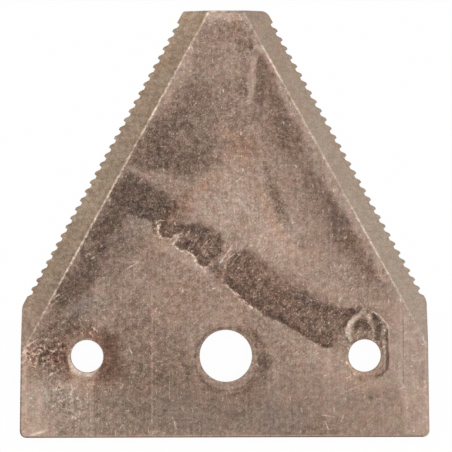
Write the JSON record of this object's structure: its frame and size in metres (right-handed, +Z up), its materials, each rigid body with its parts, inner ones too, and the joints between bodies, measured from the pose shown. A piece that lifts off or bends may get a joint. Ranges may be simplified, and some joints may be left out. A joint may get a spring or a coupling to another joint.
{
  "type": "mower sickle section",
  "caption": "Flat triangular steel knife section with bevelled, under-serrated cutting edges and a row of holes that fix it to a mower's knife bar.",
  "frame": {"origin": "on the flat underside, midway between the two rivet holes", "axes": "+Z up through the plate to the bevelled face, +Y from the row of holes to the tip, +X along the knife bar"},
  "size_m": [0.0749, 0.078, 0.0025],
  "materials": {
    "blade_steel": "worn, brown-tinted bare steel with ground bevels"
  },
  "bodies": {
    "root": {"sickle_section": "blade_steel"}
  },
  "joints": []
}
